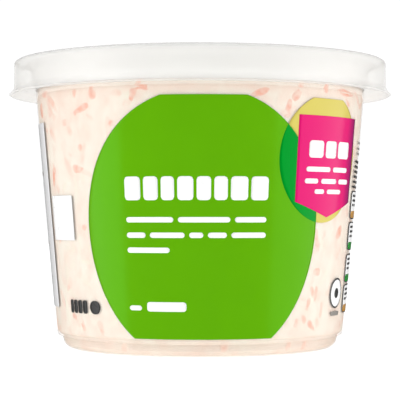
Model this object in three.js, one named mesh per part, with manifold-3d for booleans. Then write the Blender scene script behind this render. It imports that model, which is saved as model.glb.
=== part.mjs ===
// A shut round tub of coleslaw: a thin tapered tub with a stepped foot and a flared rim, a push-on
// lid with a plug and a flared skirt, and the shredded salad that fills the tub up to the lid.
// Millimetres, +Z up. The origin is the centre of the plane that the tub stands on.
import * as THREE from "three";
import { mergeVertices } from "three/addons/utils/BufferGeometryUtils.js";
import Module from "manifold-3d";

const wasm = await Module();
wasm.setup();

// Driving dimensions
const segments = 60; // facets round every turned piece
const foot = {
  innerRadius: 31.4, // the ring that it stands on runs from here
  outerRadius: 33.7, // to here
  recess: 0.9, // how far the base is pushed up inside the ring
  gateRadius: 1.7, // moulding gate left at the centre of the base
  gateHeight: 0.4,
  cornerRadius: 2.7, // round from the ring up
  stepHeight: 3.2,
};
const wall = {
  lowZ: 4.4,
  lowRadius: 37.8, // outside, just over the step
  highZ: 67.3,
  highRadius: 43.35, // outside, just under the shoulder
  thickness: 0.6,
  bandZ: 65.4, // the wall is thicker over this height
  bandThickness: 0.8,
};
const collar = {
  radius: 44.4, // outside
  lowZ: 68.5,
  highZ: 72.3,
  thickness: 0.7,
};
const rim = {
  radius: 46.2, // outer edge of the flared rim
  topZ: 73.7,
  edge: 0.4, // height of that edge
};
const lid = {
  topZ: 74.8,
  thickness: 0.55,
  radius: 48.9, // outside of the skirt
  edgeRound: 1.0,
  flareZ: 68.1, // the skirt flares out under this height
  lipZ: 65.7,
  lipRadius: 50.2, // the lid's class is 101 mm
  lipEdge: 0.35,
  plugRadius: 43.2, // outside of the plug that goes into the tub's mouth
  plugTaper: 0.5,
  panelZ: 71.9, // top of the sunken panel
  ridgeRadius: 34.0, // a raised ring stiffens the panel
  ridgeWidth: 2.4,
  ridgeHeight: 0.7,
};
const salad = {
  wallGap: 0.35, // from the wall to the outermost shreds
  relief: 0.55, // how far the shreds stand out of the core
  fillZ: 67.6, // mean height of the core's top
  swell: 0.4, // height of the top's slow waves
  topLimitZ: 70.6, // nothing reaches higher
  wallShreds: 80,
  topShreds: 27,
  length: [7, 17],
  width: [1.5, 2.9],
  thickness: 1.5,
};

const slope = (wall.highRadius - wall.lowRadius) / (wall.highZ - wall.lowZ);
const wallRadius = (z) => wall.lowRadius + slope * (z - wall.lowZ);
const innerRadius = (z) => wallRadius(z) - (z > wall.bandZ ? wall.bandThickness : wall.thickness);

// Points on an arc round (r, z), from one angle to another in degrees; 0 points away from the axis
const arc = (r, z, radius, from, to, steps) =>
  Array.from({ length: steps + 1 }, (_, i) => {
    const a = THREE.MathUtils.degToRad(from + ((to - from) * i) / steps);
    return [r + radius * Math.cos(a), z + radius * Math.sin(a)];
  });

// A closed solid of revolution about +Z from [radius, z] points, anticlockwise seen with +Z up
const turned = (profile, count = segments) => {
  const points = profile.map(([r, z]) => new THREE.Vector2(r, z));
  return new THREE.LatheGeometry(points, count).rotateX(Math.PI / 2);
};

const plastic = (color, opacity) =>
  new THREE.MeshStandardMaterial({
    color,
    roughness: 0.25,
    metalness: 0,
    transparent: true,
    opacity,
  });

// The tub: outside from the gate over the foot, wall, collar and rim, then back down the inside
const floorZ = foot.recess + wall.thickness;
const innerCorner = foot.cornerRadius - wall.thickness;
const gutterEdge = foot.innerRadius - foot.recess + 0.4 * wall.thickness; // inside, over the ring
const tubProfile = [
  [0, foot.recess - foot.gateHeight],
  [foot.gateRadius, foot.recess - foot.gateHeight],
  [foot.gateRadius + 0.3, foot.recess],
  [foot.innerRadius - foot.recess, foot.recess],
  [foot.innerRadius, 0],
  ...arc(foot.outerRadius, foot.cornerRadius, foot.cornerRadius, -90, 0, 3),
  [foot.outerRadius + foot.cornerRadius, foot.stepHeight],
  [wall.lowRadius - 0.35, foot.stepHeight + 0.1],
  [wall.lowRadius - 0.1, foot.stepHeight + 0.35],
  [wall.lowRadius, wall.lowZ],
  [wall.highRadius, wall.highZ],
  [collar.radius - 0.35, collar.lowZ - 0.55],
  [collar.radius, collar.lowZ],
  [collar.radius, collar.highZ],
  [rim.radius, rim.topZ - rim.edge],
  [rim.radius - 0.15, rim.topZ],
  [collar.radius - collar.thickness + 0.25, rim.topZ],
  [collar.radius - collar.thickness, rim.topZ - 0.4],
  [collar.radius - collar.thickness, collar.lowZ + 0.35],
  [innerRadius(wall.highZ), wall.highZ + 0.2],
  [innerRadius(wall.bandZ + 0.1), wall.bandZ + 0.1],
  [innerRadius(wall.bandZ - 0.3), wall.bandZ - 0.3],
  [innerRadius(wall.lowZ + 0.2), wall.lowZ + 0.2],
  [foot.outerRadius + innerCorner, foot.stepHeight + 0.2],
  ...arc(foot.outerRadius, foot.cornerRadius, innerCorner, 0, -90, 2).slice(1),
  [gutterEdge + foot.recess, wall.thickness],
  [gutterEdge, floorZ],
  [0, floorZ],
];

// The lid: underside from the panel out to the lip, then back over the top
const lidUnder = lid.topZ - lid.thickness;
const skirtInner = lid.radius - lid.thickness;
const flareSteps = 3;
const flare = (radius, highZ, lowZ, outset) =>
  Array.from({ length: flareSteps + 1 }, (_, i) => {
    const u = i / flareSteps;
    return [radius + outset * u * u, highZ + (lowZ - highZ) * u];
  });
const ridge = (z) => [
  [lid.ridgeRadius - lid.ridgeWidth, z],
  [lid.ridgeRadius - lid.ridgeWidth / 2, z + lid.ridgeHeight],
  [lid.ridgeRadius + lid.ridgeWidth / 2, z + lid.ridgeHeight],
  [lid.ridgeRadius + lid.ridgeWidth, z],
];
const panelUnder = lid.panelZ - lid.thickness;
const plugInner = lid.plugRadius - lid.thickness;
const outset = lid.lipRadius - lid.radius;
const lidProfile = [
  [0, panelUnder],
  ...ridge(panelUnder),
  [lid.plugRadius - lid.plugTaper, panelUnder],
  [lid.plugRadius, lidUnder],
  [skirtInner - 0.2, lidUnder],
  [skirtInner, lidUnder - 0.3],
  ...flare(skirtInner, lid.flareZ, lid.lipZ, outset),
  ...flare(lid.radius, lid.flareZ, lid.lipZ + lid.lipEdge, outset).reverse(),
  ...arc(lid.radius - lid.edgeRound, lid.topZ - lid.edgeRound, lid.edgeRound, 0, 90, 2),
  [plugInner + 0.25, lid.topZ],
  [plugInner, lid.topZ - 0.3],
  [plugInner - lid.plugTaper, lid.panelZ],
  ...ridge(lid.panelZ).reverse(),
  [0, lid.panelZ],
];

// Seeded random numbers from 0 to 1
let seed = 20417;
const random = () => {
  seed = (seed + 0x6d2b79f5) >>> 0;
  let t = Math.imul(seed ^ (seed >>> 15), 1 | seed);
  t = (t + Math.imul(t ^ (t >>> 7), 61 | t)) ^ t;
  return ((t ^ (t >>> 14)) >>> 0) / 4294967296;
};
const between = ([low, high]) => low + (high - low) * random();

// Height of the core's top: slow waves, lower towards the wall
const topZ = (x, y) => {
  const waves = Math.sin(x / 6.1 + 0.7) * Math.cos(y / 5.3) + Math.sin((x - y) / 9.7 + 2.1);
  const edge = Math.hypot(x, y) / wall.highRadius;
  return salad.fillZ + salad.swell * waves - 0.5 * edge ** 4;
};

// A bar bent by a function of (along, across, out), as a manifold solid; its ends are narrower
const solid = (geometry) => {
  geometry.deleteAttribute("normal");
  geometry.deleteAttribute("uv");
  const merged = mergeVertices(geometry, 1e-4);
  const mesh = new wasm.Mesh({
    numProp: 3,
    vertProperties: new Float32Array(merged.attributes.position.array),
    triVerts: new Uint32Array(merged.index.array),
  });
  return new wasm.Manifold(mesh);
};
const shredSteps = 3;
const shred = (length, width, place) => {
  const bar = new THREE.BoxGeometry(length, width, salad.thickness, shredSteps, 1, 1);
  const position = bar.attributes.position;
  const point = new THREE.Vector3();
  for (let i = 0; i < position.count; i += 1) {
    point.fromBufferAttribute(position, i);
    const taper = 1 - 0.45 * Math.abs((2 * point.x) / length) ** 3;
    position.setXYZ(i, ...place(point.x, point.y * taper, point.z));
  }
  return solid(bar);
};

// A shred laid flat along the wall, round a centre, at an angle to the level, with a slight bend
const shredOuter = (z) => innerRadius(z) - salad.wallGap - 0.1 - salad.thickness / 2;
const wallShred = (index) => {
  const length = between(salad.length);
  const width = between(salad.width);
  const turn = (index + 0.8 * random()) * 2.39996; // the golden angle spreads them evenly
  const angle = Math.PI * random();
  const bend = (random() - 0.5) * 0.05;
  const reach = (Math.abs(Math.sin(angle)) * length) / 2 + width;
  const low = wall.lowZ + 2.2 + reach;
  const high = salad.fillZ - 1.6 - reach;
  const share = (index + random()) / salad.wallShreds;
  const centreZ = low + (high - low) * share;
  return shred(length, width, (x, y, out) => {
    const side = y + bend * x * x;
    const z = centreZ + x * Math.sin(angle) + side * Math.cos(angle);
    const along = x * Math.cos(angle) - side * Math.sin(angle);
    const radius = shredOuter(z) + out;
    const theta = turn + along / wallRadius(z);
    return [radius * Math.sin(theta), -radius * Math.cos(theta), z];
  });
};

// A shred lying on the top, following its waves
const topShred = (index) => {
  const length = between(salad.length);
  const width = between(salad.width);
  const limit = wall.highRadius - 3.2 - length / 2;
  const distance = limit * Math.sqrt((index + 0.5) / salad.topShreds);
  const turn = index * 2.39996 + 0.4 * random();
  const angle = 2 * Math.PI * random();
  const bend = (random() - 0.5) * 0.06;
  return shred(length, width, (along, across, up) => {
    const side = across + bend * along * along;
    const x = distance * Math.cos(turn) + along * Math.cos(angle) - side * Math.sin(angle);
    const y = distance * Math.sin(turn) + along * Math.sin(angle) + side * Math.cos(angle);
    return [x, y, Math.min(topZ(x, y) + up + 0.35, salad.topLimitZ)];
  });
};

// The salad: a core with a wavy top, clear of the wall, and the shreds that show fused on
const coreInset = salad.wallGap + salad.relief + 0.1;
const coreRadius = (z) => innerRadius(z) - coreInset;
const coreBase = floorZ + salad.wallGap;
const coreCorner = innerCorner - salad.wallGap;
const coreGutter = gutterEdge + 0.4 * salad.wallGap;
const coreShoulder = salad.fillZ - 1.2;
const coreRings = [0.92, 0.66, 0.4, 0.16]; // rings of the top, as shares of its radius
const coreProfile = [
  [0, coreBase],
  [coreGutter, coreBase],
  [coreGutter + foot.recess, coreBase - foot.recess],
  ...arc(foot.outerRadius, foot.cornerRadius, coreCorner, -90, 0, 2),
  [coreRadius(wall.lowZ + 1.6), wall.lowZ + 1.6],
  [coreRadius(wall.bandZ - 1), wall.bandZ - 1],
  [coreRadius(coreShoulder), coreShoulder],
  ...coreRings.map((share) => [share * coreRadius(coreShoulder), salad.fillZ]),
  [0, salad.fillZ],
];
const coreGeometry = () => {
  const core = turned(coreProfile, 36);
  const position = core.attributes.position;
  for (let i = 0; i < position.count; i += 1) {
    if (position.getZ(i) > coreShoulder + 0.01) {
      position.setZ(i, topZ(position.getX(i), position.getY(i)));
    }
  }
  return core;
};
const saladGeometry = () => {
  const shreds = [];
  for (let i = 0; i < salad.wallShreds; i += 1) {
    shreds.push(wallShred(i));
  }
  for (let i = 0; i < salad.topShreds; i += 1) {
    shreds.push(topShred(i));
  }
  const whole = wasm.Manifold.union([solid(coreGeometry()), ...shreds]);
  const body = whole.decompose().sort((a, b) => b.volume() - a.volume())[0]; // no loose scraps
  const mesh = body.simplify(0.04).getMesh();
  const geometry = new THREE.BufferGeometry();
  geometry.setAttribute("position", new THREE.BufferAttribute(mesh.vertProperties, 3));
  geometry.setIndex(new THREE.BufferAttribute(mesh.triVerts, 1));
  geometry.computeVertexNormals();
  return geometry;
};

const named = (name, geometry, material) => {
  const mesh = new THREE.Mesh(geometry, material);
  mesh.name = name;
  return mesh;
};

const cream = new THREE.MeshStandardMaterial({ color: 0xf7e6d2, roughness: 0.45, metalness: 0 });
const group = new THREE.Group();
group.add(
  named("tub", turned(tubProfile), plastic(0xf6f3ee, 0.4)),
  named("lid", turned(lidProfile), plastic(0xf4f4f1, 0.55)),
  named("coleslaw", saladGeometry(), cream),
);

export default group;
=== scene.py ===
import bmesh
import bpy
import numpy as np
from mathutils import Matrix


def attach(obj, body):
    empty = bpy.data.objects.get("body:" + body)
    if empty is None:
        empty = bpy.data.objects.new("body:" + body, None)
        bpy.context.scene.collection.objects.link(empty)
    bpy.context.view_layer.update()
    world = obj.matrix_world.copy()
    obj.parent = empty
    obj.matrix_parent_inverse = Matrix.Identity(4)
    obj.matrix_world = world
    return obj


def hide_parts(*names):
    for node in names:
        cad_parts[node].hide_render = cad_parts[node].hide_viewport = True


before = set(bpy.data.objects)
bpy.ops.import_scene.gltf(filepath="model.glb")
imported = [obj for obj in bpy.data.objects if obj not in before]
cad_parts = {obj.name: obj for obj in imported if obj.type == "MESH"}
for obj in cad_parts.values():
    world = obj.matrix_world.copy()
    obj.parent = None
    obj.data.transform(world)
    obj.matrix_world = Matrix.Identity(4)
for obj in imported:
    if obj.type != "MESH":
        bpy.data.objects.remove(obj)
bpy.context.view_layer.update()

mm = 0.001
scene = bpy.context.scene
roundSteps = 320  # points round every turned piece


def roundedLine(corners, steps=6, spacing=2.2):
    # A line through (radius, height, round) corners. Each corner is the circle that touches both
    # sides at the distance round from it: a weighted mean of start, tip and end, where the tip
    # weighs the sine of half the angle between the sides. The straights are cut every spacing
    table = np.array(corners, float)
    tips, rounds = table[:, :2], table[:, 2:]
    unit = lambda d: d / np.maximum(np.linalg.norm(d, axis=1, keepdims=True), 1e-9)
    back, ahead = unit(np.roll(tips, 1, axis=0) - tips), unit(np.roll(tips, -1, axis=0) - tips)
    sine = np.sqrt(np.clip(1 - np.sum(back * ahead, axis=1), 0, 2) / 2)[:, None, None]
    u = np.linspace(0, 1, steps)[None, :, None]
    weights = [(1 - u) ** 2, 2 * u * (1 - u) * sine, u**2]
    spots = [tips + back * rounds, tips, tips + ahead * rounds]
    bends = sum(w * spot[:, None] for w, spot in zip(weights, spots)) / sum(weights)
    line = bends.reshape(-1, 2)
    gone = np.concatenate([[0], np.cumsum(np.linalg.norm(np.diff(line, axis=0), axis=1))])
    stops = np.unique(np.round(np.concatenate([gone, np.arange(0, gone[-1], spacing)]), 3))
    return np.column_stack([np.interp(stops, gone, line[:, axis]) for axis in (0, 1)])


def gridFaces(rows, columns, wrapRows, wrapColumns):
    # Corner numbers of the quads between neighbouring points of a rows by columns grid
    i = np.arange(rows if wrapRows else rows - 1)[:, None]
    j = np.arange(columns if wrapColumns else columns - 1)[None, :]
    nextI, nextJ = (i + 1) % rows, (j + 1) % columns
    corners = (i * columns + j, nextI * columns + j, nextI * columns + nextJ, i * columns + nextJ)
    return np.stack(np.broadcast_arrays(*corners), axis=-1).reshape(-1, 4)


def pieceFrom(name, points, faces, closed=True, attributes=None):
    # A smooth mesh object from points in mm. Points that meet, at a pole or a tip, are merged
    mesh = bpy.data.meshes.new(name)
    mesh.from_pydata((points.reshape(-1, 3) * mm).tolist(), [], faces.tolist())
    for label, values in (attributes or {}).items():
        mesh.attributes.new(label, "FLOAT", "POINT")
        mesh.attributes[label].data.foreach_set("value", values.astype(np.float32).ravel())
    if closed:
        work = bmesh.new()
        work.from_mesh(mesh)
        bmesh.ops.remove_doubles(work, verts=work.verts, dist=1e-6)
        bmesh.ops.recalc_face_normals(work, faces=work.faces)
        work.to_mesh(mesh)
        work.free()
    mesh.polygons.foreach_set("use_smooth", np.ones(len(mesh.polygons), bool))
    mesh.update()
    piece = bpy.data.objects.new(name, mesh)
    scene.collection.objects.link(piece)
    return piece


def turnedPoints(line, around, height=None):
    # The line carried round Z: a point at angle a is (r sin a, -r cos a, h). height(x, y, h), if
    # given, moves each point up or down
    a = np.linspace(0, 2 * np.pi, around, endpoint=False)[:, None]
    x = line[:, 0] * np.sin(a)
    y = -line[:, 0] * np.cos(a)
    z = np.broadcast_to(line[:, 1], x.shape)
    if height is not None:
        z = height(x, y, z)
    return np.stack([x, y, z], axis=-1)


def turned(name, line, ring=False):
    # The line is turned right round. A ring's line also joins up with its own start
    faces = gridFaces(roundSteps, len(line), True, ring)
    return pieceFrom(name, turnedPoints(line, roundSteps), faces)


def newMaterial(name, **sockets):
    material = bpy.data.materials.new(name)
    material.use_nodes = True
    shader = material.node_tree.nodes["Principled BSDF"]
    for label, value in sockets.items():
        shader.inputs[label.replace("_", " ")].default_value = value
    return material


def addNode(material, kind, inputs=None, **settings):
    # Adds a node; an input is a number, a colour, or another node's output
    node = material.node_tree.nodes.new(kind)
    for label, value in settings.items():
        setattr(node, label, value)
    for key, value in (inputs or {}).items():
        if isinstance(value, bpy.types.NodeSocket):
            material.node_tree.links.new(value, node.inputs[key])
        else:
            node.inputs[key].default_value = value
    return node


def noiseAt(material, scale, detail=3.0, stretch=(1, 1, 1)):
    # Noise in Object coordinates, scale in cycles per metre
    place = addNode(material, "ShaderNodeTexCoord").outputs["Object"]
    turn = addNode(material, "ShaderNodeMapping", {"Vector": place, "Scale": stretch})
    inputs = {"Vector": turn.outputs[0], "Scale": scale, "Detail": detail}
    return addNode(material, "ShaderNodeTexNoise", inputs).outputs["Fac"]


def ranged(material, value, low, high, toLow, toHigh):
    inputs = {"Value": value, "From Min": low, "From Max": high, "To Min": toLow, "To Max": toHigh}
    return addNode(material, "ShaderNodeMapRange", inputs).outputs[0]


def mixed(material, share, first, second):
    # Blends two colours; each is a plain colour or another node's output
    node = addNode(material, "ShaderNodeMix", {0: share}, data_type="RGBA")
    for key, value in ((6, first), (7, second)):
        if isinstance(value, bpy.types.NodeSocket):
            material.node_tree.links.new(value, node.inputs[key])
        else:
            node.inputs[key].default_value = (*value, 1)
    return node.outputs[2]


def feed(material, label, output):
    shader = material.node_tree.nodes["Principled BSDF"]
    material.node_tree.links.new(output, shader.inputs[label])


def bumped(material, height, distance, strength=1.0):
    inputs = {"Height": height, "Distance": distance, "Strength": strength}
    feed(material, "Normal", addNode(material, "ShaderNodeBump", inputs).outputs[0])


def finish(piece, material, slotName, *nodes):
    piece.data.materials.append(material)
    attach(piece, "root")
    if nodes:
        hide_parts(*nodes)
    return piece


# The tub, in mm: radii from its axis, and heights from the plane that it stands on
tub = {
    "footInner": 31.4, "footOuter": 33.5, "recess": 0.9, "corner": 2.7, "step": 3.3, "gate": 1.7,
    "lowZ": 4.4, "lowRadius": 37.8, "highZ": 67.3, "highRadius": 43.35,
    "wayRadius": 40.5,  # ways round the wall are measured at this radius, from the middle of the front
    "thickness": 0.6, "bandZ": 65.4, "bandThickness": 0.8,
    "collarRadius": 44.4, "collarLow": 68.5, "collarHigh": 72.3, "collarThickness": 0.7,
    "rimRadius": 46.2, "rimTop": 73.7, "rimEdge": 0.4,
    "colour": (0.93, 0.92, 0.905, 1), "opacity": 0.16,
    "roughness": 0.1, "coat": 0.5, "coatRoughness": 0.05,
}


def wallRadius(z):
    # The outside of the wall is a cone
    slope = (tub["highRadius"] - tub["lowRadius"]) / (tub["highZ"] - tub["lowZ"])
    return tub["lowRadius"] + slope * (z - tub["lowZ"])


floorZ = tub["recess"] + tub["thickness"]
collarInner = tub["collarRadius"] - tub["collarThickness"]
bandInner = wallRadius(tub["bandZ"]) - tub["bandThickness"]
gutter = tub["footInner"] - tub["recess"] + 0.24
footSide = tub["footOuter"] + tub["corner"]
insideLow = tub["lowZ"] + 0.2
insideLine = roundedLine([
    (0, floorZ, 0),
    (gutter, floorZ, 0.3),
    (gutter + tub["recess"], tub["thickness"], 0.3),
    (footSide - tub["thickness"], tub["thickness"], 2.2),
    (footSide - tub["thickness"], tub["step"] + 0.1, 0.15),
    (wallRadius(insideLow) - tub["thickness"], insideLow, 0.4),
    (wallRadius(tub["bandZ"] - 0.3) - tub["thickness"], tub["bandZ"] - 0.3, 0.2),
    (bandInner, tub["bandZ"] + 0.1, 0.2),
    (wallRadius(tub["highZ"]) - tub["bandThickness"], tub["highZ"] + 0.2, 0.3),
    (collarInner, tub["collarLow"] + 0.35, 0.3),
    (collarInner, tub["rimTop"] - 0.3, 0.25),
])
outsideLine = roundedLine([
    (0, tub["recess"] - 0.4, 0),
    (tub["gate"], tub["recess"] - 0.4, 0.15),
    (tub["gate"] + 0.3, tub["recess"], 0.15),
    (tub["footInner"] - tub["recess"], tub["recess"], 0.3),
    (tub["footInner"], 0, 0.25),
    (footSide, 0, tub["corner"] - 0.05),
    (footSide, tub["step"], 0.1),
    (tub["lowRadius"] - 0.1, tub["step"] + 0.1, 0.5),
    (tub["lowRadius"], tub["lowZ"], 0.3),
    (tub["highRadius"], tub["highZ"], 0.3),
    (tub["collarRadius"], tub["collarLow"], 0.5),
    (tub["collarRadius"], tub["collarHigh"], 0.3),
    (tub["rimRadius"], tub["rimTop"] - tub["rimEdge"], 0.2),
    (tub["rimRadius"] - 0.1, tub["rimTop"], 0.2),
    (collarInner + 0.3, tub["rimTop"], 0.2),
])


def milkyPlastic(name, part):
    # Thin polypropylene: a pale body that lets most light straight through, faint flow marks in it
    material = newMaterial(
        name, Base_Color=part["colour"], Alpha=part["opacity"], Roughness=part["roughness"],
        IOR=1.5, Coat_Weight=part["coat"], Coat_Roughness=part["coatRoughness"], Coat_IOR=1.5)
    clouds = noiseAt(material, 60, 2, (1, 1, 0.4))
    red, green, blue, _ = part["colour"]
    darker = (red * 0.985, green * 0.985, blue * 0.985)
    feed(material, "Base Color", mixed(material, clouds, (red, green, blue), darker))
    low, high = part["roughness"] * 0.9, part["roughness"] * 1.15
    feed(material, "Roughness", ranged(material, noiseAt(material, 200, 2), 0.3, 0.7, low, high))
    bumped(material, noiseAt(material, 150, 1), 0.000004)
    return material


tubPlastic = milkyPlastic("tubPlastic", tub)
tubLine = np.concatenate([outsideLine, insideLine[::-1]])
tubShell = finish(turned("tubShell", tubLine), tubPlastic, "tub", "tub")


def thickOrShadeRing(name, material, slotName, *corners):
    # A ring turned from the corners of its section: the milky heart of a place where the plastic is thick,
    # and at the lid's edge a grey ring of painted shade.
    # A corner is a radius and a height, and may have its own round
    line = roundedLine([(*corner, 0.1)[:3] for corner in corners], steps=4)
    return finish(turned(name, line, ring=True), material, slotName)


collarPlastic = milkyPlastic("collarPlastic", {
    **tub, "opacity": 0.8, "colour": (0.985, 0.98, 0.965, 1), "roughness": 0.2, "coat": 1.0})
collarSide, rimSide = tub["collarRadius"] - 0.12, tub["rimRadius"] - 0.12
thickOrShadeRing("collarHeart", collarPlastic, "tub",
          (tub["highRadius"] - 0.47, tub["highZ"] - 0.2), (tub["highRadius"] - 0.13, tub["highZ"] - 0.2),
          (tub["highRadius"] + 0.15, tub["collarLow"]), (collarSide, tub["collarLow"] + 0.9),
          (collarSide, tub["collarHigh"]), (rimSide, tub["rimTop"] - tub["rimEdge"]),
          (rimSide, tub["rimTop"] - 0.1), (collarSide - 0.35, tub["rimTop"] - 0.1),
          (collarSide - 0.35, tub["collarLow"] + 0.9))
footPlastic = milkyPlastic("footPlastic", {**tub, "opacity": 0.2, "colour": (0.95, 0.85, 0.76, 1)})
ring, heartSide = tub["footOuter"], footSide - 0.08
thickOrShadeRing("footHeart", footPlastic, "tub",
          (ring - 0.7, 0.1), (ring + 0.5, 0.1, 0.4), (ring + 1.9, 0.75, 0.8), (heartSide, 2.2, 0.6),
          (heartSide, tub["step"] + 0.05), (tub["lowRadius"] - 0.45, tub["step"] + 0.2),
          (tub["lowRadius"] - 0.15, tub["lowZ"]), (tub["lowRadius"] - 0.4, tub["lowZ"]),
          (heartSide - 0.25, tub["step"] + 0.25), (heartSide - 0.25, 2.3, 0.6),
          (ring + 1.65, 1.0, 0.8), (ring + 0.4, 0.35, 0.4), (ring - 0.7, 0.35))
print("tub made")


# The lid, in mm too
lid = {
    "top": 74.8, "thickness": 0.55, "radius": 48.9, "edgeRound": 1.25, "flareZ": 68.1,
    "lipZ": 65.7, "lipRadius": 50.2, "lipEdge": 0.35,
    "plugRadius": 43.2, "plugTaper": 0.5, "panelZ": 71.9,
    "ridgeRadius": 34.0, "ridgeWidth": 2.4, "ridgeHeight": 0.7,
    "colour": (0.97, 0.96, 0.935, 1), "opacity": 0.33,
    "roughness": 0.33, "coat": 0.5, "coatRoughness": 0.33,
}


def flare(radius, low):
    # The skirt bends out as the square of the way down from the flare to the lip
    u = np.linspace(0, 1, 12)
    outset = lid["lipRadius"] - lid["radius"]
    return np.column_stack([radius + outset * u**2, lid["flareZ"] + (low - lid["flareZ"]) * u])


def ridge(z):
    # Corners of the raised ring that stiffens the panel, from the middle out
    middle, width = lid["ridgeRadius"], lid["ridgeWidth"]
    raised = z + lid["ridgeHeight"]
    return [(middle - width, z, 0.5), (middle - width / 2, raised, 0.5),
            (middle + width / 2, raised, 0.5), (middle + width, z, 0.5)]


lidUnder = lid["top"] - lid["thickness"]
skirtInner = lid["radius"] - lid["thickness"]
panelUnder = lid["panelZ"] - lid["thickness"]
plugInner = lid["plugRadius"] - lid["thickness"]
lidUnderside = roundedLine([
    (0, panelUnder, 0), *ridge(panelUnder),
    (lid["plugRadius"] - lid["plugTaper"], panelUnder, 0.5),
    (lid["plugRadius"], lidUnder, 0.25),
    (skirtInner, lidUnder, 0.55),
    (skirtInner, lid["flareZ"] + 0.3, 0),
])
lidTop = roundedLine([
    (lid["radius"], lid["flareZ"] + 0.3, 0),
    (lid["radius"], lid["top"], lid["edgeRound"]),
    (plugInner, lid["top"], 0.35),
    (plugInner - lid["plugTaper"], lid["panelZ"], 0.5),
    *ridge(lid["panelZ"])[::-1], (0, lid["panelZ"], 0),
])
lidLine = np.concatenate([
    lidUnderside, flare(skirtInner, lid["lipZ"]),
    flare(lid["radius"], lid["lipZ"] + lid["lipEdge"])[::-1], lidTop])
lidPlastic = milkyPlastic("lidPlastic", lid)
lidShell = finish(turned("lidShell", lidLine), lidPlastic, "lid", "lid")
edgeLow, edgeHigh = lid["top"] - 0.8, lid["top"] - 0.1
edgeInner, edgeOuter = lid["radius"] - 1.15, lid["radius"] - 0.13
# painted shade: grey plastic inside the lid's rounded top edge draws a dark line along it
edgeShadePlastic = milkyPlastic("edgeShadePlastic", {**lid, "opacity": 0.5, "colour": (0.84, 0.84, 0.83, 1)})
thickOrShadeRing("lidEdgeShade", edgeShadePlastic, "lid",
          (edgeOuter - 0.35, edgeLow), (edgeOuter, edgeLow), (edgeOuter - 0.12, edgeLow + 0.35),
          (edgeInner + 0.3, edgeHigh), (edgeInner, edgeHigh), (edgeInner, edgeHigh - 0.3))
print("lid made")


# The salad, in mm where it isn't a share or a colour
salad = {
    "reach": 0.3,  # how far the dressing goes into the wall, so that no air shows
    "footReach": 0.22,  # the same under footZ
    "footZ": 4.0,
    "paleZ": 65.5,  # the dressing is thinner and paler over this height
    "lipShade": (2.2, 0.6),  # painted shade under the lid's lip: the cream darkens from here to here under it
    "edgeZ": 67.3,  # the salad's edge at the wall
    "shoulder": 9,  # from the edge in, its top rises to the heap over this way
    "fill": 67.4, "swell": 0.35, "lowest": 66, "highest": 70.4,
    "spread": 40,  # shreds are strewn this far out, and those at the wall are bent to this radius
    "around": 360, "roughness": 0.38,
    "cream": (0.91, 0.79, 0.68), "shade": (0.885, 0.655, 0.54), "pale": (0.912, 0.835, 0.722),
    "thin": (0.92, 0.85, 0.78),
}
insideWall = insideLine[insideLine[:, 0] > gutter + 2.3]  # the inside's line without its floor


def insideRadius(z):
    # The radius of the tub's inside at a height, from its own line
    return np.interp(z, insideWall[:, 1], insideWall[:, 0])


edgeRadius = float(insideRadius(salad["edgeZ"]))


def heapZ(x, y):
    # The top of the salad: slow waves in the middle, level beside the wall. Their share rises as
    # 3u^2 - 2u^3 over the shoulder
    u = np.clip((edgeRadius - np.hypot(x, y)) / salad["shoulder"], 0, 1)
    waves = np.sin(x / 6.1 + 0.7) * np.cos(y / 5.3) + np.sin((x - y) / 9.7 + 2.1)
    small = np.sin(x / 1.7 + np.sin(y / 2.3) * 2) * np.cos(y / 1.9 + np.sin(x / 3.1) * 2)
    middle = salad["fill"] + salad["swell"] * waves + 0.22 * small
    return salad["edgeZ"] + (middle - salad["edgeZ"]) * (3 * u**2 - 2 * u**3)


def pushedOut(line, reach):
    # Moves every point of a line outwards, square to its run
    run = np.gradient(line, axis=0)
    out = np.column_stack([run[:, 1], -run[:, 0]]) / np.linalg.norm(run, axis=1, keepdims=True)
    moved = line + out * reach
    moved[:, 0] = np.maximum(moved[:, 0], 0)
    return moved


belowTop = insideLine[insideLine[:, 1] < salad["edgeZ"] - 0.1]
heightsUp = [0, salad["footZ"], salad["footZ"] + 3]
reachUp = np.interp(belowTop[:, 1], heightsUp, [salad["footReach"], salad["footReach"], salad["reach"]])
acrossTop = np.linspace(edgeRadius + salad["reach"], 0, 60)
dressingLine = np.concatenate([
    pushedOut(belowTop, reachUp[:, None]),
    np.column_stack([acrossTop, np.full_like(acrossTop, salad["fill"])]),
])


def topLift(x, y, z):
    # Only the points of the top are moved, on to the heap
    return np.where(z > salad["fill"] - 0.01, np.maximum(heapZ(x, y), salad["lowest"]), z)


dressingPoints = turnedPoints(dressingLine, salad["around"], topLift)


def creamColour(material):
    # Cream with slow paler clouds, and a fine pinkish mottle where shreds lie just under it. Just under
    # the pale band it darkens towards the shade colour, a painted shade under the lid's lip
    slow = ranged(material, noiseAt(material, 95, 2), 0.42, 0.62, 0, 1)
    fine = ranged(material, noiseAt(material, 300, 3, (1, 1, 0.8)), 0.42, 0.7, 0, 0.7)
    clouds = mixed(material, slow, salad["pale"], salad["cream"])
    place = addNode(material, "ShaderNodeTexCoord").outputs["Object"]
    height = addNode(material, "ShaderNodeSeparateXYZ", {0: place}).outputs["Z"]
    pale = salad["paleZ"] * mm
    upper = ranged(material, height, pale, pale + 0.25 * mm, 0, 0.5)
    # painted shade: the cream darkens towards the top, where the lid's lip overhangs the wall
    start, stop = [pale - under * mm for under in salad["lipShade"]]
    lipShade = ranged(material, height, start, stop, 0, 0.4)
    mottled = mixed(material, lipShade, mixed(material, fine, clouds, salad["shade"]), salad["shade"])
    return mixed(material, upper, mottled, salad["thin"])


def wetMaterial(name):
    # Soft food under a thin wet film, with a fine grain
    material = newMaterial(
        name, Roughness=salad["roughness"], IOR=1.4, Specular_IOR_Level=0.15,
        Coat_Weight=0.25, Coat_Roughness=0.08)
    bumped(material, noiseAt(material, 1400, 3), 0.00005)
    return material


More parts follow.
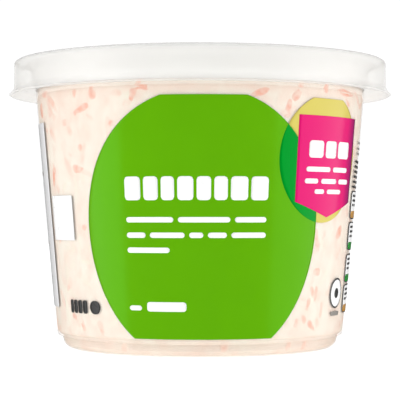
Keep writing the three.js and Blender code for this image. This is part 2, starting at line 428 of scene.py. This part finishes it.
def foodMaterial(name, base, clearness):
    # Where the attribute bare is 1 the food itself shows, and at 0 it is under the dressing
    material = wetMaterial(name)
    bare = addNode(material, "ShaderNodeAttribute", attribute_name="bare").outputs["Fac"]
    spots = ranged(material, noiseAt(material, 550, 3), 0.35, 0.62, 0.35, 1.0)
    share = addNode(material, "ShaderNodeMath", {0: bare, 1: spots}, operation="MULTIPLY").outputs[0]
    own = mixed(material, noiseAt(material, 350), base, tuple(c * 0.86 for c in base))
    share = ranged(material, share, 0, 1, 0, clearness)
    feed(material, "Base Color", mixed(material, share, creamColour(material), own))
    return material


cream = wetMaterial("dressing")
feed(cream, "Base Color", creamColour(cream))
dressingFaces = gridFaces(salad["around"], len(dressingLine), True, False)
finish(pieceFrom("dressing", dressingPoints, dressingFaces), cream, "dressing", "coleslaw")
print("dressing made")

shred = {
    "steps": 11, "sides": 14,  # rings along each shred, and points round each ring
    "square": 0.7,  # the power that makes its section squarer, 1 for round
    "taper": 0.25, "wobble": 0.18,  # how much its width differs from end to end, and in waves
}
goldenAngle, evenShare = 2.39996, 0.754877  # steps that spread things evenly, in radians and as a share


def shredPiece(name, kind, place, chosen=None):
    # Every shred is a bar whose cross-section is a squared circle, width by thickness, carried
    # along a bent line; its ends close to points. place() gives each its spot. The chosen ones
    # come as a table of way round, height, length, width, angle and strength
    rng = np.random.default_rng(kind["seed"])
    count = kind["count"] if chosen is None else len(chosen)
    draw = lambda low, high: rng.uniform(low, high, count)[:, None, None]
    length, width, strength = draw(*kind["length"]), draw(*kind["width"]), draw(0, 1) ** kind["fade"]
    if chosen is not None:
        length, width, strength = [chosen[:, column, None, None] for column in (2, 3, 5)]
    thickness = width * kind["flat"]
    steps, sides = shred["steps"], shred["sides"]
    t = np.sin(np.linspace(-np.pi / 2, np.pi / 2, steps))[None, :, None]
    turn = np.linspace(0, 2 * np.pi, sides, endpoint=False)[None, None, :]
    squared = lambda c: np.sign(c) * np.abs(c) ** shred["square"]
    ends = (1 - np.abs(t) ** kind["blunt"]) ** 0.5 * (1 + draw(-shred["taper"], shred["taper"]) * t)
    wobble = 1 + shred["wobble"] * np.sin(draw(2, 5) * t + draw(0, 6.3))
    along = t * length / 2
    bent = draw(-1, 1) * kind["bend"] * along**2 / length
    across = squared(np.cos(turn)) * width / 2 * ends * wobble + bent
    out = squared(np.sin(turn)) * thickness / 2 * ends
    points = place(along, across, out, rng, length)
    crown = np.clip(np.sin(turn), 0, 1) ** 2 if kind["oneSided"] else 0.75 + 0.25 * np.sin(turn)
    front = np.clip(-points[..., 1] / 0.6 / np.hypot(points[..., 0], points[..., 1]), 0, 1)
    bare = np.clip(crown * (1 - np.abs(t) ** 2.5) * strength * (1 - kind["quiet"] * front), 0, 1)
    one = gridFaces(steps, sides, False, True)
    faces = (one[None] + (np.arange(count) * steps * sides)[:, None, None]).reshape(-1, 4)
    return pieceFrom(name, points, faces, attributes={"bare": bare * np.ones_like(along + turn)})


def onWall(proud):
    # Lays shreds along the wall, spread evenly by the golden angle, at any angle to the level,
    # with their faces up to proud outside the dressing
    def place(along, across, out, rng, length):
        count = len(length)
        order = np.arange(count)[:, None, None]
        turn = order * goldenAngle + rng.uniform(0, 1, (count, 1, 1))
        angle = rng.uniform(0, np.pi, (count, 1, 1))
        spare = 1.2  # between a shred's end and the floor or the salad's edge
        reach = np.abs(np.sin(angle)) * length / 2 + np.abs(np.cos(angle)) * length / 8 + spare
        low, high = spare + reach, salad["edgeZ"] - reach
        middle = low + (high - low) * ((order * evenShare + rng.uniform(0, 0.2, (count, 1, 1))) % 1)
        z = middle + along * np.sin(angle) + across * np.cos(angle)
        side = along * np.cos(angle) - across * np.sin(angle)
        sunk = np.max(out, axis=(1, 2), keepdims=True) - proud * rng.uniform(0.1, 1, (count, 1, 1))
        radius = insideRadius(z) + salad["reach"] - sunk + out
        theta = turn + side / salad["spread"]
        return np.stack(np.broadcast_arrays(radius * np.sin(theta), -radius * np.cos(theta), z), axis=-1)
    return place


def atSpots(chosen, proud):
    # Lays the chosen shreds along the wall, each at its own place and angle
    def place(along, across, out, rng, length):
        x, middle, angle = [chosen[:, column, None, None] for column in (0, 1, 4)]
        z = np.minimum(middle + along * np.sin(angle) + across * np.cos(angle), salad["edgeZ"] - 0.15)
        side = along * np.cos(angle) - across * np.sin(angle)
        radius = insideRadius(z) + salad["reach"] + proud - np.max(out, axis=(1, 2), keepdims=True) + out
        theta = (x + side) / tub["wayRadius"]
        return np.stack(np.broadcast_arrays(radius * np.sin(theta), -radius * np.cos(theta), z), axis=-1)
    return place


def onHeap(lift):
    # Strews shreds over the top, tilted a little, each one pressed into the heap. The ceiling over
    # them falls towards the wall
    def place(along, across, out, rng, length):
        count = len(length)
        order = np.arange(count)[:, None, None]
        far = (salad["spread"] - length * 0.55) * np.sqrt((order + 0.5) / count)
        turn = order * goldenAngle + rng.uniform(0, 0.5, (count, 1, 1))
        angle = rng.uniform(0, 2 * np.pi, (count, 1, 1))
        tilt = rng.uniform(-0.08, 0.08, (count, 1, 1))
        x = far * np.cos(turn) + along * np.cos(angle) - across * np.sin(angle)
        y = far * np.sin(turn) + along * np.sin(angle) + across * np.cos(angle)
        high = heapZ(x, y) + lift * rng.uniform(0, 1, (count, 1, 1)) + tilt * along + out
        ceiling = salad["edgeZ"] - 0.1 + 0.09 * (edgeRadius - np.hypot(x, y))
        ceiling = np.minimum(ceiling, salad["highest"])
        z = np.minimum(high, ceiling + 0.15 * np.tanh(out))
        return np.stack(np.broadcast_arrays(x, y, z), axis=-1)
    return place


carrotWall = {"count": 420, "seed": 11, "length": (3, 10), "width": (1.4, 3.4), "flat": 0.3,
              "bend": 0.3, "fade": 1.0, "quiet": 0.65, "blunt": 4, "oneSided": True}
carrotFront = {"seed": 15, "length": (3, 10), "width": (1.4, 3.4), "flat": 0.25,
               "bend": 0.35, "fade": 1.0, "quiet": 0, "blunt": 2.5, "oneSided": True}
carrotHeap = {"count": 170, "seed": 12, "length": (9, 20), "width": (1.5, 2.4), "flat": 0.8,
              "bend": 0.7, "fade": 0.4, "quiet": 0, "blunt": 6, "oneSided": False}
cabbageWall = {"count": 330, "seed": 13, "length": (6, 18), "width": (1.6, 3.4), "flat": 0.3,
               "bend": 0.5, "fade": 0.6, "quiet": 0, "blunt": 4, "oneSided": True}
cabbageHeap = {"count": 300, "seed": 14, "length": (10, 26), "width": (1.8, 3.6), "flat": 0.5,
               "bend": 0.8, "fade": 0.4, "quiet": 0, "blunt": 6, "oneSided": False}
# The camera, its place in metres, and how many pixels its view is across
lens = {"focal": 133.0, "sensor": 36, "pixels": 400, "place": (0, -0.39153, 0.03378), "rise": 0.0459}
# The carrot strands that show most from the front: both ends as the camera sees them, in pixels across
# and down, then length and width in mm, and strength
strands = {
    "upperLeft": [
        (71, 115, 89, 103, 8.6, 2.4, 1.0), (89, 85, 93, 99, 5.2, 2.8, 0.85),
        (134, 86, 126, 110, 7.6, 2.2, 0.85), (133, 86, 147, 87, 5.0, 2.0, 1.0),
        (136, 86, 139, 78, 3.6, 1.8, 0.7), (106, 127, 112, 121, 3.4, 1.8, 0.9),
        (45, 93, 56, 110, 9.0, 2.4, 0.6), (39, 95, 47, 94, 8.0, 2.0, 0.6),
        (39.5, 104, 42, 122, 8.0, 4.4, 1.0), (78, 145, 81, 151, 3.0, 2.2, 0.7),
        (71, 169, 87, 170, 7.6, 2.4, 0.85), (53, 166, 53, 192, 9.0, 2.6, 1.0),
        (63, 120, 64, 127, 3.0, 2.4, 0.5), (73, 90, 73, 97, 3.0, 1.8, 0.6),
        (109, 93, 120, 93, 4.4, 1.8, 0.45),
    ],
    "upperRight": [
        (251, 96, 273, 87, 7.4, 2.0, 1.0), (287, 119, 292, 97, 7.2, 2.4, 0.9),
        (294, 100, 303, 88, 6.0, 3.6, 0.85), (302, 90, 303, 80, 3.6, 2.0, 0.5),
        (326, 93, 330, 81, 4.4, 2.2, 0.8), (338, 90.5, 356, 96.5, 11.5, 2.0, 1.0),
        (346.5, 99, 350.5, 108, 4.6, 1.6, 0.7), (356.5, 92, 360.5, 108, 8.0, 2.0, 0.5),
    ],
    "lowLeft": [
        (82, 229, 86, 225, 3.0, 1.9, 0.6), (66, 284, 68, 290, 3.0, 3.0, 0.55),
        (72, 314, 76, 319, 3.6, 1.9, 0.8), (81, 321, 84, 330, 3.8, 2.3, 0.8),
        (98, 321, 103, 334, 5.2, 2.2, 0.55),
    ],
    "lowRight": [
        (343.5, 224, 336.5, 240, 7.4, 3.2, 0.95), (316, 226, 319, 254, 9.0, 2.0, 0.6),
        (314, 272, 321, 272, 4.4, 3.0, 0.9), (312, 286, 315, 297, 4.6, 2.0, 0.8),
        (318, 286, 316, 302, 5.6, 2.0, 0.8), (311, 297, 307, 310, 5.0, 2.3, 0.85),
        (309, 322, 315, 330, 5.0, 1.9, 0.9), (303, 315, 306, 322, 3.6, 1.9, 0.55),
        (323, 302, 321, 319, 6.0, 2.2, 0.5), (298, 319, 296, 327, 3.2, 1.8, 0.5),
    ],
    "foot": [
        (309, 350, 310, 342, 3.6, 2.2, 0.7), (293, 351, 294, 343, 3.4, 2.2, 0.5),
        (224.5, 354, 226, 346, 3.6, 2.4, 0.6), (119, 352, 122, 345, 3.4, 2.2, 0.5),
    ],
}


def seenOnWall(x, y):
    # Way round and height of the wall at a pixel. For each mm back, the line of sight goes across
    # and up by their shares, and the cone of the wall widens by its slope times up. They meet at
    # the nearer root of a quadratic
    scale = lens["focal"] / lens["sensor"] * lens["pixels"]
    across = (x - lens["pixels"] / 2) / scale
    up = (lens["pixels"] * (0.5 + lens["rise"]) - y) / scale
    far, eye = -lens["place"][1] / mm, lens["place"][2] / mm
    level = wallRadius(eye)
    widening = (wallRadius(eye + 1) - level) * up
    square, half = 1 + across**2 - widening**2, far + level * widening
    back = (half - np.sqrt(half**2 - square * (far**2 - level**2))) / square
    return np.arctan2(across * back, far - back) * tub["wayRadius"], eye + up * back


def placed(rows):
    # Strands by their ends become shreds by middle, length, width, angle and strength
    (startX, startZ), (stopX, stopZ) = seenOnWall(*rows[:, 0:2].T), seenOnWall(*rows[:, 2:4].T)
    angle = np.arctan2(stopZ - startZ, stopX - startX) % np.pi
    middle = [(startX + stopX) / 2, (startZ + stopZ) / 2]
    return np.column_stack([*middle, rows[:, 4:6], angle, rows[:, 6]])


frontShreds = placed(np.array([row for rows in strands.values() for row in rows]))
carrot = foodMaterial("carrot", (0.95, 0.36, 0.22), 0.95)
cabbage = foodMaterial("cabbage", (0.94, 0.90, 0.74), 0.9)
finish(shredPiece("carrotAtWall", carrotWall, onWall(0.07)), carrot, "carrot")
finish(shredPiece("carrotAtFront", carrotFront, atSpots(frontShreds, 0.06), frontShreds), carrot, "carrot")
finish(shredPiece("cabbageAtWall", cabbageWall, onWall(0.05)), cabbage, "cabbage")
finish(shredPiece("carrotOnTop", carrotHeap, onHeap(1.1)), carrot, "carrot")
finish(shredPiece("cabbageOnTop", cabbageHeap, onHeap(0.9)), cabbage, "cabbage")
print("salad made")


# The print on the wall. Its shapes are laid out by ways round the wall and by heights, in mm
layout = {
    "film": 0.025,  # thickness of one layer of ink
    "upStep": 0.7, "roundStep": 0.9,  # between points of a printed shape
    "fieldTop": 63.1, "fieldBottom": 4.7,
}


def levels(low, high, *kinks):
    # Heights from low to high, closer together towards both ends
    u = np.linspace(-np.pi / 2, np.pi / 2, max(9, int((high - low) / layout["upStep"])))
    return np.unique(np.concatenate([low + (high - low) * (np.sin(u) + 1) / 2, kinks]))


def inkPatch(left, right, heights, layer):
    # One printed shape: at each height it runs from left(z) to right(z) along the wall. Returns
    # its points and faces
    start, stop = left(heights), right(heights)
    columns = max(3, int(np.max(stop - start) / layout["roundStep"]) + 2)
    u = np.linspace(0, 1, columns)[:, None]
    theta = (start + (stop - start) * u) / tub["wayRadius"]
    radius = wallRadius(heights) + 0.01 + layer * layout["film"]
    z = np.broadcast_to(heights, theta.shape)
    points = np.stack([radius * np.sin(theta), -radius * np.cos(theta), z], axis=-1)
    return points.reshape(-1, 3), gridFaces(columns, len(heights), False, False)


def disc(x, z, halfWidth, halfHeight):
    # Both edges of an ellipse as functions of height
    half = lambda h: halfWidth * np.sqrt(np.clip(1 - ((h - z) / halfHeight) ** 2, 0, 1))
    return (lambda h: x - half(h)), (lambda h: x + half(h))


def box(x0, x1, z0, z1, corner=0.3):
    # Both edges of a box with rounded corners, and its heights
    def inset(h):
        into = np.clip(corner - np.minimum(h - z0, z1 - h), 0, corner)
        return corner - np.sqrt(np.maximum(corner**2 - into**2, 0))
    return (lambda h: x0 + inset(h)), (lambda h: x1 - inset(h)), levels(z0, z1, z0 + corner, z1 - corner)


def inked(name, material, slotName, *patches):
    # Several printed shapes as one piece with the thickness of its ink
    points, faces, total = [], [], 0
    for patch in patches:
        spots, quads = inkPatch(*patch)
        points.append(spots)
        faces.append(quads + total)
        total += len(spots)
    piece = pieceFrom(name, np.concatenate(points), np.concatenate(faces), closed=False)
    film = piece.modifiers.new("film", "SOLIDIFY")
    film.thickness, film.offset = layout["film"] * mm, 1
    return finish(piece, material, slotName)


def ink(name, colour, sheen=(1, 1, 1), roughness=0.16, uneven=0.025):
    # Gloss ink: its colour is a little uneven, and sheen tints what it reflects
    material = newMaterial(name, Roughness=roughness, IOR=1.5, Specular_Tint=(*sheen, 1))
    cloud = ranged(material, noiseAt(material, 120, 2), 0.3, 0.7, 0, 1)
    darker = tuple(c * (1 - uneven) for c in colour)
    feed(material, "Base Color", mixed(material, cloud, colour, darker))
    low, high = roughness * 0.85, roughness * 1.2
    feed(material, "Roughness", ranged(material, noiseAt(material, 300, 2), 0.3, 0.7, low, high))
    return material


def fadedTo(material, colour, start, stop):
    # Blends an ink into another colour from start to stop round the wall. The angle of a point from
    # the X axis is its way round from the middle of the front, less a quarter turn
    place = addNode(material, "ShaderNodeTexCoord").outputs["Object"]
    parts = addNode(material, "ShaderNodeSeparateXYZ", {0: place}).outputs
    inputs = {0: parts["Y"], 1: parts["X"]}
    angle = addNode(material, "ShaderNodeMath", inputs, operation="ARCTAN2").outputs[0]
    low, high = [along / tub["wayRadius"] - np.pi / 2 for along in (start, stop)]
    own = material.node_tree.nodes["Principled BSDF"].inputs["Base Color"].links[0].from_socket
    feed(material, "Base Color", mixed(material, ranged(material, angle, low, high, 0, 1), own, colour))


greenInk = ink("greenInk", (0.12, 0.40, 0.0), (0.1, 1, 0.15))
darkGreenInk = ink("darkGreenInk", (0.0, 0.28, 0.016), (0.02, 1, 0.25))
yellowInk = ink("yellowInk", (0.66, 0.56, 0.125), (1, 1, 0.35))
pinkInk = ink("pinkInk", (0.74, 0.006, 0.165), (1, 0.25, 0.45))
whiteInk = ink("whiteInk", (0.95, 0.95, 0.95), roughness=0.3, uneven=0.006)
panelInk = ink("panelInk", (0.85, 0.85, 0.86), roughness=0.14, uneven=0.01)
darkInk = ink("darkInk", (0.03, 0.03, 0.03), roughness=0.3)
greyInk = ink("greyInk", (0.28, 0.26, 0.24), roughness=0.3)
orangeInk = ink("orangeInk", (0.58, 0.29, 0.05), roughness=0.2)

bottom, top = layout["fieldBottom"], layout["fieldTop"]
green = {"x": 0.85, "z": 31.55, "halfWidth": 30.89, "halfHeight": 33.28}
yellow = {"x": 33.87, "z": 48.47, "halfWidth": 14.66, "halfHeight": 15.79}
greenLeft, greenRight = disc(**green)
yellowLeft, yellowRight = disc(**yellow)
fieldHeights = levels(bottom, top)
discHeights = levels(yellow["z"] - yellow["halfHeight"], top)
inked("greenField", greenInk, "green_print", (greenLeft, greenRight, fieldHeights, 0))
overlapLeft = lambda h: np.minimum(yellowLeft(h), greenRight(h))
overlapRight = lambda h: np.minimum(greenRight(h), yellowRight(h))
inked("darkGreenOverlap", darkGreenInk, "dark_green_print", (overlapLeft, overlapRight, discHeights, 1))
yellowStart = lambda h: np.minimum(np.maximum(yellowLeft(h), greenRight(h)), yellowRight(h))
inked("yellowDisc", yellowInk, "yellow_print", (yellowStart, yellowRight, discHeights, 0))

flash = {
    "left": 24.2, "right": 47.65, "top": 58.9, "shoulder": 37.8, "tip": 34.0, "tipX": 35.7,
    "shaded": (0.22, 0.002, 0.115), "fade": (43.2, 47.4),  # its far edge is darker, over this way round
}
fadedTo(pinkInk, flash["shaded"], *flash["fade"])


def flashEdge(side):
    # Straight down to the shoulder, then straight in to the tip
    def edge(h):
        share = np.clip((flash["shoulder"] - h) / (flash["shoulder"] - flash["tip"]), 0, 1)
        return flash[side] + (flash["tipX"] - flash[side]) * share
    return edge


inked("pinkFlash", pinkInk, "pink_print", (
    flashEdge("left"), flashEdge("right"), levels(flash["tip"], flash["top"], flash["shoulder"]), 2))


def bars(start, low, high, layer, *widths, gap=1.1, corner=None):
    # A row of bars, one for each width, with round ends unless a corner is given
    found, x = [], start
    for width in widths:
        left, right, heights = box(x, x + width, low, high, corner or (high - low) / 2)
        found.append((left, right, heights, layer))
        x += width + gap
    return found


inked("titleBlocks", whiteInk, "white_print",
      *bars(-18.5, 38.1, 43.8, 1, 4.1, 3.6, 3.2, 3.8, 3.4, 3.2, 4.2, 4.4, gap=0.75, corner=0.8))
inked("lineBars", whiteInk, "white_print",
      *bars(-18.4, 32.8, 34.1, 1, 12.0, 12.6, 8.0),
      *bars(-18.4, 29.1, 30.4, 1, 5.0, 8.6, 3.4, 4.6, 8.8),
      *bars(-18.4, 25.5, 26.8, 1, 11.0),
      *bars(-18.4, 11.6, 12.8, 1, 3.4))
inked("makerBar", whiteInk, "white_print", *bars(-13.6, 11.4, 13.7, 1, 10.2, corner=0.7))
inked("flashBlocks", whiteInk, "white_print",
      *bars(27.8, 48.6, 52.8, 3, 5.0, 4.4, 5.6, gap=0.8, corner=0.8))
inked("flashBars", whiteInk, "white_print",
      *bars(27.2, 45.2, 46.4, 3, 8.8, 7.2),
      *bars(26.9, 42.3, 43.5, 3, 4.6, 6.4, 5.2),
      *bars(30.4, 39.8, 40.9, 3, 3.6, 6.4))
inked("dateBox", whiteInk, "white_print", (*box(-47.2, -36.0, 28.3, 39.5, 0.25), 0))
inked("weightBars", darkInk, "dark_print",
      *bars(-40.4, 10.2, 13.5, 0, 1.5, 1.6, 1.7, 1.8, gap=0.35, corner=0.5),
      *bars(-31.7, 10.2, 13.5, 0, 3.9))
print("front printed")


# The print on the sides and at the back
roundel = {"x": 44.35, "z": 14.9, "radius": 3.85, "line": 0.42, "spot": 1.3}


def ringOf(radius):
    left, right = disc(roundel["x"], roundel["z"], radius, radius)
    return left, right, levels(roundel["z"] - radius, roundel["z"] + radius)


inked("roundelRim", darkInk, "dark_print", (*ringOf(roundel["radius"]), 0))
inked("roundelFace", whiteInk, "white_print", (*ringOf(roundel["radius"] - roundel["line"]), 1))
inked("roundelSpot", darkInk, "dark_print", (*ringOf(roundel["spot"]), 2))
inked("captionBar", greyInk, "dark_print", *bars(41.6, 9.2, 10.3, 0, 5.6))

panel = {"left": -104.0, "right": -49.05, "low": 11.1, "high": 58.2}
inked("sidePanel", panelInk, "white_print", (
    *box(panel["left"], panel["right"], panel["low"], panel["high"], 0.5), 0))
margin = panel["left"] + 4
panelRows = [
    row for i, z in enumerate(np.arange(15.0, 50.0, 3.0))
    for row in bars(margin, z, z + 1.0, 1, 14 + 5 * np.sin(i * 2.1), 9 + 3 * np.cos(i * 1.3), 12, gap=1.6)]
inked("panelRows", greyInk, "dark_print", *panelRows)
inked("panelHeading", greenInk, "green_print", *bars(margin, 52.0, 55.0, 1, 30.0))

strip = {
    "left": 50.9, "right": 65.0, "line": 0.3, "tab": 2.4,
    "feet": (33.6, 25.6, 17.3, 9.5), "height": 7.3,
}


def cell(foot, inset, height, corner):
    # One cell of the strip, or a part of it from its foot up
    left, right = strip["left"] + inset, strip["right"] - inset
    return box(left, right, foot + inset, foot + height - inset, corner)


feet, line = strip["feet"], strip["line"]
inked("cellRims", darkInk, "dark_print", *[(*cell(z, 0, strip["height"], 1.0), 0) for z in feet])
inked("cellFaces", whiteInk, "white_print", *[(*cell(z, line, strip["height"], 0.9), 1) for z in feet])
for kind, shade, slotName, chosen in (
        ("Amber", orangeInk, "yellow_print", (0, 3)),
        ("Green", darkGreenInk, "dark_green_print", (1, 2))):
    tabs = [(*cell(feet[i], line, strip["tab"], 0.7), 2) for i in chosen]
    inked(f"cellTabs{kind}", shade, slotName, *tabs)
cellRows = [row for z in feet for row in (
    *bars(52.0, z + 5.7, z + 6.3, 2, 4.2, 5.4), *bars(52.0, z + 4.5, z + 5.1, 2, 6.0, 3.2),
    *bars(52.0, z + 3.3, z + 3.9, 2, 3.0, 4.0))]
inked("cellRows", darkInk, "dark_print", *cellRows)
stripRows = [row for i, z in enumerate(np.arange(41.6, 48.6, 1.3))
             for row in bars(50.4 + 0.25 * i, z, z + 0.62, 0, 4.4, 3.0, 5.2, gap=0.8)]
stripHeading = [row for z in (50.2, 51.5, 53.0) for row in bars(53.2, z, z + 0.6, 0, 3.2, 4.6, gap=0.8)]
inked("stripRows", darkInk, "dark_print", *stripRows)
inked("stripHeading", greyInk, "dark_print", *stripHeading)
inked("labelEdges", greyInk, "dark_print",  # shadow lines on the edges of the panel and the date box
      (*box(panel["right"] - 0.05, -48.62, panel["low"], panel["high"], 0.1), 1),
      (*box(-36.02, -35.72, 28.4, 39.4, 0.1), 1))
print("sides printed")


# The room and its lights, in metres
room = {
    "floor": 1.6, "sides": 64,  # radius of the floor, and sides of its outline
    "white": 1.05,  # the backdrop that the camera sees
    # places from the camera's side (0) over the sides (0.5) to the back (1), each with its light: what
    # lights the object, and what its gloss mirrors
    "around": ((0, 0.17), (0.15, 0.49), (0.3, 0.72), (0.5, 0.87), (0.62, 0.79), (0.78, 0.38), (1, 1)),
    "mirrored": ((0.62, 0.5), (0.82, 0.12)),
    "boxes": (  # azimuth from the camera's side, elevation, width, height, distance, radiance
        (-70, 9, 0.27, 1.1, 0.52, 1.45),
        (84, 9, 0.66, 1.1, 0.52, 0.88),
        (0, 27, 0.5, 0.2, 0.62, 1.3),
    ),
}


def stageMaterial():
    # A bright matt floor: part of its light is its own, so that shadows on it stay faint
    return newMaterial(
        "floorWhite", Base_Color=(0.6, 0.6, 0.6, 1), Roughness=0.9, Specular_IOR_Level=0,
        Emission_Color=(1, 1, 1, 1), Emission_Strength=0.8)


a = np.linspace(0, 2 * np.pi, room["sides"], endpoint=False)
floorPoints = np.column_stack([np.cos(a), np.sin(a), np.zeros_like(a)]) * room["floor"] / mm
floor = pieceFrom("floor", floorPoints, np.arange(len(a))[None, :], closed=False)
floor.data.materials.append(stageMaterial())
floor.visible_glossy = False

world = bpy.data.worlds.new("studio")
scene.world = world
world.use_nodes = True
nodes, links = world.node_tree.nodes, world.node_tree.links
backdrop, mirrored = nodes.new("ShaderNodeBackground"), nodes.new("ShaderNodeBackground")
for light in (nodes["Background"], backdrop, mirrored):
    light.inputs["Color"].default_value = (1, 1, 1, 1)
backdrop.inputs["Strength"].default_value = room["white"]
direction, parts = nodes.new("ShaderNodeTexCoord"), nodes.new("ShaderNodeSeparateXYZ")
depth = nodes.new("ShaderNodeMath")
depth.operation = "MULTIPLY_ADD"  # (y + 1) / 2
depth.inputs[1].default_value = depth.inputs[2].default_value = 0.5
links.new(direction.outputs["Generated"], parts.inputs[0])
links.new(parts.outputs["Y"], depth.inputs[0])
for stops, target in ((room["around"], nodes["Background"]), (room["mirrored"], mirrored)):
    ramp = nodes.new("ShaderNodeValToRGB")
    marks = ramp.color_ramp.elements
    marks[0].position, marks[1].position = stops[0][0], stops[-1][0]
    for place, _ in stops[1:-1]:
        marks.new(place)
    for mark, (_, light) in zip(marks, stops):
        mark.color = (light, light, light, 1)
    links.new(depth.outputs[0], ramp.inputs[0])
    links.new(ramp.outputs[0], target.inputs["Strength"])
seen = nodes.new("ShaderNodeLightPath")
last = nodes["Background"].outputs[0]
for ray, light in (("Is Glossy Ray", mirrored), ("Is Camera Ray", backdrop)):
    either = nodes.new("ShaderNodeMixShader")
    links.new(seen.outputs[ray], either.inputs[0])
    links.new(last, either.inputs[1])
    links.new(light.outputs[0], either.inputs[2])
    last = either.outputs[0]
links.new(last, nodes["World Output"].inputs["Surface"])

for number, (azimuth, elevation, width, height, distance, radiance) in enumerate(room["boxes"]):
    light = bpy.data.lights.new(f"softbox{number}", "AREA")
    light.shape, light.size, light.size_y = "RECTANGLE", width, height
    light.energy = radiance * np.pi * width * height
    lamp = bpy.data.objects.new(light.name, light)
    angle, up = np.radians(azimuth), np.radians(elevation)
    reach = distance * np.cos(up)
    lamp.location = (np.sin(angle) * reach, -np.cos(angle) * reach, 0.04 + distance * np.sin(up))
    lamp.rotation_euler = (np.pi / 2 - up, 0, angle)
    lamp.visible_camera = False
    scene.collection.objects.link(lamp)

camera = bpy.data.objects.new("camera", bpy.data.cameras.new("camera"))
camera.data.lens, camera.data.sensor_width = lens["focal"], lens["sensor"]
camera.data.shift_y = lens["rise"]
camera.location = lens["place"]
camera.rotation_euler = (np.pi / 2, 0, 0)
scene.collection.objects.link(camera)
scene.camera = camera

scene.view_settings.view_transform = "Standard"
scene.cycles.transparent_max_bounces = 32
scene.cycles.max_bounces = 14
scene.cycles.diffuse_bounces = 6
print("room made")
